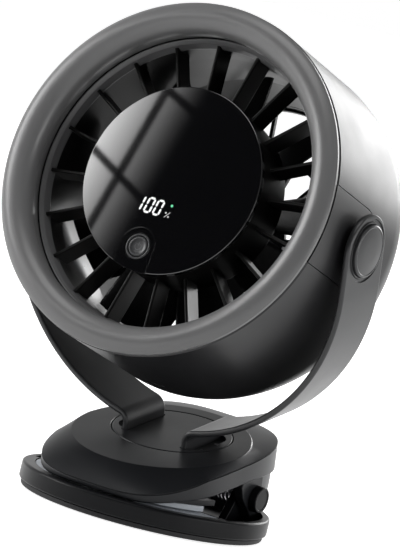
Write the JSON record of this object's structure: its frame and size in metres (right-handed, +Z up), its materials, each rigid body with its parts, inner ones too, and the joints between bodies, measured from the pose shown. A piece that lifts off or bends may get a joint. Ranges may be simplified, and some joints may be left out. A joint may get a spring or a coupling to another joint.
{
  "type": "clip fan",
  "caption": "Battery clip fan: a round drum head with a bladed grille and dark display disc, tilting in a bent yoke on a turntable over a sprung round clip.",
  "frame": {"origin": "centre of the clip's flat sole, on the surface that the fan stands on", "axes": "+Z up from the sole, X along the hinge of the clip and the pivots of the head, -Y forwards, the way the fan blows"},
  "size_m": [0.1544, 0.1185, 0.2011],
  "materials": {
    "clip_black": "satin",
    "rubber": "matte",
    "pad_grey": "matte",
    "steel": "satin",
    "arm_grey": "satin",
    "shell_black": "satin",
    "bezel_grey": "satin",
    "inner_black": "satin",
    "gloss_black": "gloss",
    "board_green": "satin",
    "display_white": "satin",
    "battery_silver": "satin",
    "magnet": "matte",
    "copper": "satin"
  },
  "bodies": {
    "base": {"lower_jaw": "clip_black", "sole": "rubber", "lower_jaw_pad": "pad_grey", "hinge_pin": "steel", "hinge_cap_left": "clip_black", "hinge_cap_right": "clip_black", "torsion_spring_left": "steel", "torsion_spring_right": "steel"},
    "clip_top": {"upper_jaw": "clip_black", "upper_jaw_pad": "pad_grey"},
    "yoke": {"turntable": "clip_black", "friction_washer": "rubber", "swivel_retainer": "steel", "swivel_screw": "steel", "yoke_arm_left": "arm_grey", "yoke_arm_right": "arm_grey", "yoke_screw_left_front": "steel", "yoke_screw_left_back": "steel", "yoke_screw_right_front": "steel", "yoke_screw_right_back": "steel", "pivot_bolt_left": "steel", "pivot_bolt_right": "steel", "pivot_washer_left": "rubber", "pivot_washer_right": "rubber", "pivot_cap_left": "arm_grey", "pivot_cap_right": "arm_grey"},
    "head": {"drum_shell": "shell_black", "side_panel_left": "shell_black", "side_panel_right": "shell_black", "front_bezel": "bezel_grey", "front_grille": "inner_black", "air_duct": "inner_black", "rear_grille": "inner_black", "rear_screw_1": "steel", "rear_screw_2": "steel", "rear_screw_3": "steel", "usb_c_socket": "steel", "charge_board": "board_green", "display_lens": "gloss_black", "button_ring": "steel", "tact_switch": "inner_black", "control_board": "board_green", "board_screw_1": "steel", "board_screw_2": "steel", "board_screw_3": "steel", "led_display": "display_white", "battery_pack": "battery_silver", "motor_base": "steel", "stator": "copper", "bearing_front": "steel", "bearing_back": "steel"},
    "button": {"power_button": "gloss_black"},
    "rotor": {"motor_shaft": "steel", "rotor_can": "steel", "magnet_ring": "magnet", "impeller": "inner_black"}
  },
  "joints": [
    {"name": "clip_open", "type": "hinge", "parent": "base", "child": "clip_top", "pos_m": [0, 0.0258, 0.0148], "axis": [-1, 0, 0], "range_deg": [0, 25], "stiffness_Nm_per_rad": 0.9, "springref_deg": -34.38, "deforming": ["torsion_spring_left", "torsion_spring_right"]},
    {"name": "yoke_swivel", "type": "hinge", "parent": "clip_top", "child": "yoke", "pos_m": [0, 0.009, 0.0326], "axis": [0, -0.2377, 0.9713], "range_deg": [-180, 180]},
    {"name": "head_tilt", "type": "hinge", "parent": "yoke", "child": "head", "pos_m": [0, -0.01353, 0.12468], "axis": [1, 0, 0], "range_deg": [-45, 70]},
    {"name": "fan_spin", "type": "hinge", "parent": "head", "child": "rotor", "pos_m": [0, -0.01353, 0.12468], "axis": [0, -0.965, 0.2622], "continuous": true},
    {"name": "button_press", "type": "slide", "parent": "head", "child": "button", "axis": [0, 0.965, -0.2622], "range_m": [0, 0.0008], "stiffness_N_per_m": 600, "springref_m": -0.0008}
  ]
}
